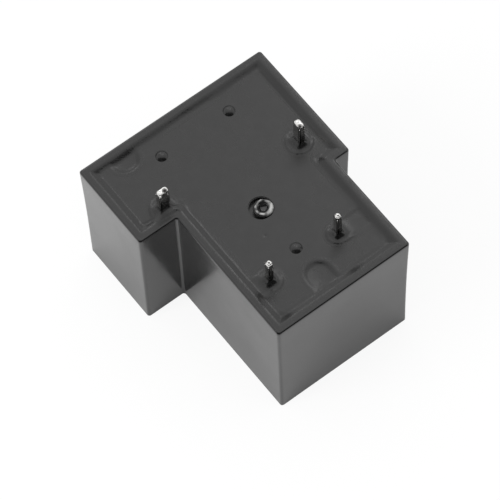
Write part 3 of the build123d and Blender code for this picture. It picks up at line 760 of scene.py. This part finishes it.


# Tin on the pins: a thin coat over each pin, and a rounded blob of solder on the end. A painted
# dark reflection lies along each pin's corner toward the camera and in the dish of its end
pinCoat = {
    "foot": 0.4 * mm, "proud": 0.012 * mm, "edge": 0.15 * mm, "edgeSteps": 4, "sideSteps": 8,
    "shaftSteps": 24, "blobHeight": 0.16 * mm, "blobTop": 0.07 * mm, "blobRound": 0.14 * mm,
    "blobTurn": 55, "blobSteps": 7, "capSteps": 14, "capLift": 0.1 * mm, "edgeFade": 0.35 * mm,
    "lump": 0.03 * mm, "lumpSize": 0.35 * mm, "lumpReach": 0.5 * mm, "seedStep": 7,
    # size of each pin along X and Y, then the dish in its end, painted dark as a reflection: depth,
    # radius and place from the middle, all in millimetres, and a seed
    "pins": {
        "load_terminal": (1.4, 0.8, 0.1, 0.34, (0.26, -0.14), 1),
        "common_terminal": (0.8, 1.2, 0.08, 0.3, (-0.18, -0.46), 2),
        "left_coil_pin": (0.7, 0.7, 0.06, 0.11, (0, -0.04), 3),
        "right_coil_pin": (0.7, 0.7, 0.06, 0.11, (0.02, -0.08), 4),
    },
}


def pinEnd(nodeName):
    # The middle of a pin's end face
    mesh = nodes[nodeName].data
    top = max(v.co.z for v in mesh.vertices)
    ends = [v.co for v in mesh.vertices if v.co.z > top - levelReach]
    return sum(ends, Vector()) / len(ends)


def pinSection(halfX, halfY, edge):
    # A rectangle with rounded corners as points, and for each point whether it is on the corner
    # toward the camera, which is painted dark as a reflection
    points, paintedCorner = [], []
    quarters = [(1, -1, -90), (1, 1, 0), (-1, 1, 90), (-1, -1, 180)]
    for sideX, sideY, turn in quarters:
        for k in range(pinCoat["edgeSteps"] + 1):
            angle = math.radians(turn + 90 * k / pinCoat["edgeSteps"])
            points.append(Vector((sideX * (halfX - edge) + edge * math.cos(angle),
                                  sideY * (halfY - edge) + edge * math.sin(angle), 0)))
            # only the corner toward the camera gets the painted dark reflection
            paintedCorner.append(1.0 if sideX < 0 and sideY < 0 else 0.0)
        start = points[-1]
        end = Vector((-start.y * halfX / halfY if sideX == sideY else start.x,
                      start.y if sideX == sideY else -start.y, 0))
        steps = pinCoat["sideSteps"]
        points += [start.lerp(end, k / steps) for k in range(1, steps)]
        paintedCorner += [0.0] * (steps - 1)
    return points, paintedCorner


def buildPinCoat(nodeName):
    sizeX, sizeY, dish, dishSize, dishPlace, seed = pinCoat["pins"][nodeName]
    end = pinEnd(nodeName)
    halfX, halfY = sizeX * mm / 2 + pinCoat["proud"], sizeY * mm / 2 + pinCoat["proud"]
    footZ, blobZ = plateauZ - pinCoat["foot"], end.z - pinCoat["blobHeight"]
    levels = [(footZ + (blobZ - footZ) * k / pinCoat["shaftSteps"], 0.0)
              for k in range(pinCoat["shaftSteps"])]
    blobTurn = math.radians(pinCoat["blobTurn"])
    for k in range(pinCoat["blobSteps"] + 1):
        turn = blobTurn * k / pinCoat["blobSteps"]
        rise = (pinCoat["blobHeight"] + pinCoat["blobTop"]) * (math.sin(turn) / math.sin(blobTurn))
        levels.append((blobZ + rise, 1 - math.cos(turn)))
    rings, shades = [], []
    for z, narrow in levels:
        near = math.exp(-((end.z - z) / pinCoat["lumpReach"]) ** 2)
        points, paintedCorner = pinSection(halfX, halfY, pinCoat["edge"] * (1 + near))
        ring = []
        for point in points:
            spot = Vector((point.x, point.y, z)) / pinCoat["lumpSize"]
            lump = noise.noise(spot + Vector((0, 0, seed * pinCoat["seedStep"])))
            swell = near * pinCoat["lump"] * (0.5 + lump) - narrow * pinCoat["blobRound"]
            place = point + point.normalized() * swell
            ring.append((end.x + place.x, end.y + place.y, z))
        rings.append(ring)
        # the painted dark reflection on the corner fades out toward the pin's end
        paintedShare = (end.z - z - pinCoat["edgeFade"] / 2) / pinCoat["edgeFade"]
        shades.append([share * min(1.0, max(0.0, paintedShare)) for share in paintedCorner])
    last, lastZ = rings[-1], levels[-1][0]
    for k in range(1, pinCoat["capSteps"]):
        inward = 1 - k / pinCoat["capSteps"]
        ring, hollows = [], []
        for x, y, _ in last:
            here = Vector(((x - end.x) * inward, (y - end.y) * inward, 0))
            # the dish is painted dark as a reflection, by the same share that sinks it
            away = (here - Vector((*dishPlace, 0)) * mm).length / (dishSize * mm)
            hollows.append(math.exp(-(away**4)))
            lift = pinCoat["capLift"] * math.sqrt(1 - inward**2)
            lift -= dish * mm * hollows[-1] * (1 - inward**4)
            lift += pinCoat["lump"] * noise.noise(here / pinCoat["lumpSize"] + Vector((0, 0, seed)))
            ring.append((end.x + here.x, end.y + here.y, lastZ + lift))
        rings.append(ring)
        shades.append(hollows)
    topZ = sum(z for _, _, z in rings[-1]) / len(rings[-1])
    bm = shadedSkin(rings, shades, "paintedDarkReflection", (end.x, end.y, topZ))
    pieceFrom("tinCoat_" + nodeName, bm, tinned)


for nodeName in pinCoat["pins"]:
    buildPinCoat(nodeName)
print("pin coats made")


# Inner pieces that repeat or follow a path are grown by geometry trees

def startTree(name, sizes):
    # A geometry tree with a named input for each size
    tree = bpy.data.node_groups.new(name, "GeometryNodeTree")
    tree.interface.new_socket("Geometry", in_out="OUTPUT", socket_type="NodeSocketGeometry")
    tree.interface.new_socket("Geometry", in_out="INPUT", socket_type="NodeSocketGeometry")
    for label, value in sizes.items():
        kind = "NodeSocketInt" if isinstance(value, int) else "NodeSocketFloat"
        tree.interface.new_socket(label, in_out="INPUT", socket_type=kind)
    return tree, addNode(tree, "NodeGroupInput").outputs


def closeTree(tree, geometry, material):
    # Instances made real, the material set, and the result sent out
    real = addNode(tree, "GeometryNodeRealizeInstances", inputs={"Geometry": geometry})
    coloured = addNode(tree, "GeometryNodeSetMaterial", inputs={
        "Geometry": real, "Material": material})
    addNode(tree, "NodeGroupOutput", inputs={"Geometry": coloured})


def grownMesh(tree, sizes, corners=(), edges=()):
    # The plain mesh that a tree makes from a start path with these sizes, as a bmesh
    start = bpy.data.meshes.new(tree.name)
    start.from_pydata(corners, edges, [])
    holder = newObject(tree.name, start)
    modifier = holder.modifiers.new(tree.name, "NODES")
    modifier.node_group = tree
    for item in tree.interface.items_tree:
        if item.in_out == "INPUT" and item.name in sizes:
            modifier[item.identifier] = sizes[item.name]
    evaluated = holder.evaluated_get(bpy.context.evaluated_depsgraph_get())
    made = bpy.data.meshes.new_from_object(evaluated)
    bpy.data.objects.remove(holder)
    bm = bmesh.new()
    bm.from_mesh(made)
    return bm


# Winding: one helix of enamelled wire over the layers beneath it. The real wire is thinner, with
# more turns; drawn coarser to show
winding = {
    "wireRadius": 0.1 * mm, "hubRadius": 3.35 * mm, "turns": 38.0, "turnSteps": 48,
    "wireSides": 8, "sharpAngle": 50,
}


def buildWinding():
    low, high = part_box("winding")
    wire, hub = winding["wireRadius"], winding["hubRadius"]
    outer, height = (high.x - low.x) / 2 - wire, high.z - low.z
    sizes = {
        "Wire Radius": wire, "Helix Radius": outer, "Helix Height": height - 2 * wire,
        "Turns": winding["turns"], "Turn Steps": winding["turnSteps"],
        "Wire Sides": winding["wireSides"], "Bulk Radius": (outer + hub) / 2,
        "Bulk Wall": outer - hub, "Bulk Height": height,
    }
    tree, given = startTree("woundWire", sizes)
    helix = addNode(tree, "GeometryNodeCurveSpiral", inputs={
        "Resolution": given["Turn Steps"], "Rotations": given["Turns"],
        "Start Radius": given["Helix Radius"], "End Radius": given["Helix Radius"],
        "Height": given["Helix Height"]})
    section = addNode(tree, "GeometryNodeCurvePrimitiveCircle", inputs={
        "Resolution": given["Wire Sides"], "Radius": given["Wire Radius"]})
    wound = addNode(tree, "GeometryNodeCurveToMesh", inputs={
        "Curve": helix, "Profile Curve": section, "Fill Caps": True})
    halfHeight = addNode(tree, "ShaderNodeMath", {"operation": "MULTIPLY"}, {
        0: given["Helix Height"], 1: -0.5})
    middle = addNode(tree, "ShaderNodeCombineXYZ", inputs={"Z": halfHeight})
    wound = addNode(tree, "GeometryNodeTransform", inputs={
        "Geometry": wound, "Translation": middle})
    layers = addNode(tree, "GeometryNodeCurvePrimitiveCircle", inputs={
        "Resolution": given["Turn Steps"], "Radius": given["Bulk Radius"]})
    wall = addNode(tree, "GeometryNodeCurvePrimitiveQuadrilateral", inputs={
        "Width": given["Bulk Wall"], "Height": given["Bulk Height"]})
    bulk = addNode(tree, "GeometryNodeCurveToMesh", inputs={"Curve": layers, "Profile Curve": wall})
    both = addNode(tree, "GeometryNodeJoinGeometry", inputs={"Geometry": wound})
    tree.links.new(bulk.outputs[0], both.inputs[0])
    closeTree(tree, both, enamelWire)
    bm = grownMesh(tree, sizes)
    bm.transform(Matrix.Translation((low + high) / 2))
    piece = pieceFrom("woundCoil", bm, enamelWire,
                      sharpAngle=winding["sharpAngle"])
    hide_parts("winding")
    print("winding:", len(piece.data.polygons), "faces")


buildWinding()


# Braid: flat strap of copper strands that cross in two directions, from the common terminal down
# and along the armature; it bends between the two bodies
braid = {
    "strandRadius": 0.09 * mm, "strands": 24, "strandSides": 6, "pitch": 5.2 * mm,
    "thickness": 0.6 * mm, "bend": 2.0 * mm, "bendSteps": 12, "step": 0.2 * mm,
    "bendFrom": 7.5 * mm, "bendTo": 3.4 * mm, "sharpAngle": 50,
}


def buildBraid():
    low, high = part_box("braid")
    halfThick, midY = braid["thickness"] / 2, (low.y + high.y) / 2
    topX, lineZ = high.x - halfThick, low.z + halfThick
    path = [(topX, midY, high.z), (topX, midY, lineZ), (low.x, midY, lineZ)]
    sizes = {
        "Bend Radius": braid["bend"], "Bend Steps": braid["bendSteps"], "Step": braid["step"],
        "Strands": braid["strands"], "Strand Radius": braid["strandRadius"],
        "Strand Sides": braid["strandSides"], "Twist": 2 * math.pi / braid["pitch"],
        "Half Width": (high.y - low.y) / 2 - braid["strandRadius"],
        "Half Thickness": halfThick - braid["strandRadius"],
    }
    tree, given = startTree("braidedStrap", sizes)
    line = addNode(tree, "GeometryNodeMeshToCurve", inputs={"Mesh": given["Geometry"]})
    line = addNode(tree, "GeometryNodeFilletCurve", {"mode": "POLY"}, {
        "Curve": line, "Radius": given["Bend Radius"], "Count": given["Bend Steps"]})
    line = addNode(tree, "GeometryNodeResampleCurve", {"mode": "LENGTH"}, {
        "Curve": line, "Length": given["Step"]})
    copies = addNode(tree, "GeometryNodeDuplicateElements", {"domain": "SPLINE"}, {
        "Geometry": line, "Amount": given["Strands"]})
    index = copies.outputs["Duplicate Index"]
    length = addNode(tree, "GeometryNodeSplineParameter").outputs["Length"]
    # even strands turn one way round the flat section and odd ones the other way
    odd = addNode(tree, "ShaderNodeMath", {"operation": "MODULO"}, {0: index, 1: 2.0})
    way = addNode(tree, "ShaderNodeMath", {"operation": "MULTIPLY_ADD"}, {0: odd, 1: -2.0, 2: 1.0})
    spacing = addNode(tree, "ShaderNodeMath", {"operation": "DIVIDE"}, {
        0: 2 * math.pi, 1: given["Strands"]})
    first = addNode(tree, "ShaderNodeMath", {"operation": "MULTIPLY"}, {0: index, 1: spacing})
    twisted = addNode(tree, "ShaderNodeMath", {"operation": "MULTIPLY"}, {
        0: length, 1: given["Twist"]})
    turn = addNode(tree, "ShaderNodeMath", {"operation": "MULTIPLY_ADD"}, {
        0: way, 1: twisted, 2: first})
    cosine = addNode(tree, "ShaderNodeMath", {"operation": "COSINE"}, {0: turn})
    sine = addNode(tree, "ShaderNodeMath", {"operation": "SINE"}, {0: turn})
    across = addNode(tree, "ShaderNodeMath", {"operation": "MULTIPLY"}, {
        0: given["Half Width"], 1: cosine})
    out = addNode(tree, "ShaderNodeMath", {"operation": "MULTIPLY"}, {
        0: given["Half Thickness"], 1: sine})
    tangent = addNode(tree, "GeometryNodeInputTangent")
    side = addNode(tree, "ShaderNodeVectorMath", {"operation": "CROSS_PRODUCT"}, {
        0: tangent, 1: (0, 1, 0)})
    outward = addNode(tree, "ShaderNodeVectorMath", {"operation": "SCALE"}, {0: side, "Scale": out})
    sideways = addNode(tree, "ShaderNodeCombineXYZ", inputs={"Y": across})
    shift = addNode(tree, "ShaderNodeVectorMath", {"operation": "ADD"}, {0: outward, 1: sideways})
    laid = addNode(tree, "GeometryNodeSetPosition", inputs={"Geometry": copies, "Offset": shift})
    section = addNode(tree, "GeometryNodeCurvePrimitiveCircle", inputs={
        "Resolution": given["Strand Sides"], "Radius": given["Strand Radius"]})
    strands = addNode(tree, "GeometryNodeCurveToMesh", inputs={
        "Curve": laid, "Profile Curve": section, "Fill Caps": True})
    closeTree(tree, strands, copperStrands)
    bm = grownMesh(tree, sizes, path, [(0, 1), (1, 2)])
    piece = pieceFrom("braidedStrap", bm, copperStrands, body=None,
                      sharpAngle=braid["sharpAngle"])
    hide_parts("braid")
    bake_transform(piece)
    print("braid:", len(piece.data.polygons), "faces")


buildBraid()


# Hinge spring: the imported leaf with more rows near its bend, so that it can follow the armature.
# The heights of the rows and both ends of the bend are in millimetres
leaf = {
    "rows": (4.3, 4.6, 4.9, 5.2, 5.5, 5.8), "sharpAngle": 30,
    "bendFrom": (0.57, -14.425, 5.5), "bendTo": (0.57, -13.4, 3.8),
}


def buildHingeSpring():
    bm = mergedCopy("hinge_spring")
    for row in leaf["rows"]:
        bmesh.ops.bisect_plane(bm, geom=bm.verts[:] + bm.edges[:] + bm.faces[:],
                               plane_co=(0, 0, row * mm), plane_no=(0, 0, 1))
    piece = pieceFrom("hingeLeaf", bm, springSteel, body=None,
                      sharpAngle=leaf["sharpAngle"])
    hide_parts("hinge_spring")
    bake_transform(piece)
    print("hinge spring:", len(piece.data.polygons), "faces")


buildHingeSpring()


# Stage: white floor and surround, soft lamps, a dark card on the camera's side for the mirror-like
# parts, and the camera at the photograph's angle
stage = {
    "floorSize": (1.2, 1.2), "floorHex": "#f4f4f4", "worldLight": 0.9,
    "cameraWhite": 0.88, "mirrorWhite": 0.15,
    "camera": {
        "focal": 3414.67, "picture": 500, "sensor": 36.0, "place": (-0.11064, -0.16100, 0.37635),
        "right": (0.79529, -0.60563, -0.02691), "up": (0.54556, 0.69565, 0.46737),
        "clip": (0.01, 5.0),
    },
    # name, place, size in metres, power in watts, and whether mirror-like parts show the lamp;
    # the last one is there for the paper that the left walls mirror
    "lamps": [
        ("overheadSoftbox", (0.119, 0.174, 0.398), 0.30, 0.075, True),
        ("rightLamp", (0.225, 0.150, 0.355), 0.10, 0.06, True),
        ("backLamp", (0.09, 0.33, 0.295), 0.08, 0.05, True),
        ("floorLamp", (-0.28, 0.05, 0.22), 0.16, 0.6, False),
    ],
    "cardPlace": (-0.156, -0.228, 0.215), "cardSize": (1.3, 0.5), "cardHex": "#101010",
}


def seenRays(tree, camera, mirror):
    # How much a surface is plain white light: one share for the camera and glass, one for mirrors
    path = addNode(tree, "ShaderNodeLightPath")
    straight = addNode(tree, "ShaderNodeMath", {"operation": "MAXIMUM"}, {
        0: path.outputs["Is Camera Ray"], 1: path.outputs["Is Transmission Ray"]})
    straight = addNode(tree, "ShaderNodeMath", {"operation": "MULTIPLY"}, {0: straight, 1: camera})
    mirrored = addNode(tree, "ShaderNodeMath", {"operation": "MULTIPLY"}, {
        0: path.outputs["Is Glossy Ray"], 1: mirror})
    return addNode(tree, "ShaderNodeMath", {"operation": "MAXIMUM"}, {0: straight, 1: mirrored})


def stagePlane(name, size, place=(0, 0, 0)):
    # A rectangle that faces the relay, or lies flat where it is under it
    bm = bmesh.new()
    bmesh.ops.create_grid(bm, x_segments=1, y_segments=1, size=0.5)
    bmesh.ops.scale(bm, verts=bm.verts, vec=(*size, 1))
    away = Vector(place)
    if away.length:
        bm.transform(Matrix.Translation(away) @ away.to_track_quat("Z", "Y").to_matrix().to_4x4())
    plane = meshObject(name, bm)
    return plane


def buildFloor():
    floor = stagePlane("floor", stage["floorSize"])
    material, tree, _ = startMaterial("paleFloor")
    seen = seenRays(tree, stage["cameraWhite"], stage["mirrorWhite"])
    paper = addNode(tree, "ShaderNodeBsdfDiffuse", inputs={
        "Color": linearColour(stage["floorHex"])})
    white = addNode(tree, "ShaderNodeEmission", inputs={"Color": (1, 1, 1, 1), "Strength": 1.0})
    mixed = addNode(tree, "ShaderNodeMixShader", inputs={0: seen, 1: paper, 2: white})
    addNode(tree, "ShaderNodeOutputMaterial", inputs={"Surface": mixed})
    floor.data.materials.append(material)


def buildCard():
    card = stagePlane("darkCard", stage["cardSize"], stage["cardPlace"])
    material, tree, _ = startMaterial("darkCard")
    black = addNode(tree, "ShaderNodeEmission", inputs={
        "Color": linearColour(stage["cardHex"]), "Strength": 1.0})
    addNode(tree, "ShaderNodeOutputMaterial", inputs={"Surface": black})
    card.data.materials.append(material)
    card.visible_camera = card.visible_diffuse = card.visible_shadow = False


def buildWorld():
    world = bpy.data.worlds.new("whiteSurround")
    bpy.context.scene.world = world
    world.use_nodes = True
    tree = world.node_tree
    tree.nodes.clear()
    strength = addNode(tree, "ShaderNodeMapRange", inputs={
        "Value": seenRays(tree, 1.0, 1.0), "To Min": stage["worldLight"], "To Max": 1.0})
    back = addNode(tree, "ShaderNodeBackground", inputs={
        "Color": (1, 1, 1, 1), "Strength": strength})
    addNode(tree, "ShaderNodeOutputWorld", inputs={"Surface": back})


def buildLamps():
    # Soft square lamps that face the relay
    for name, place, size, power, mirrored in stage["lamps"]:
        data = bpy.data.lights.new(name, "AREA")
        data.energy, data.size = power, size
        lamp = newObject(name, data)
        lamp.location = place
        lamp.visible_glossy = mirrored
        lamp.rotation_mode = "QUATERNION"
        lamp.rotation_quaternion = (-Vector(place)).to_track_quat("-Z", "Y")


def buildCamera():
    values = stage["camera"]
    data = bpy.data.cameras.new("camera")
    data.sensor_width = values["sensor"]
    data.lens = values["focal"] / values["picture"] * values["sensor"]
    data.clip_start, data.clip_end = values["clip"]
    camera = newObject("camera", data)
    right, up = Vector(values["right"]), Vector(values["up"])
    turned = Matrix((right, up, right.cross(up))).transposed().to_4x4()
    camera.matrix_world = Matrix.Translation(values["place"]) @ turned
    bpy.context.scene.camera = camera


buildFloor()
buildCard()
buildWorld()
buildLamps()
buildCamera()
bpy.context.scene.view_settings.view_transform = "Standard"
print("stage made")
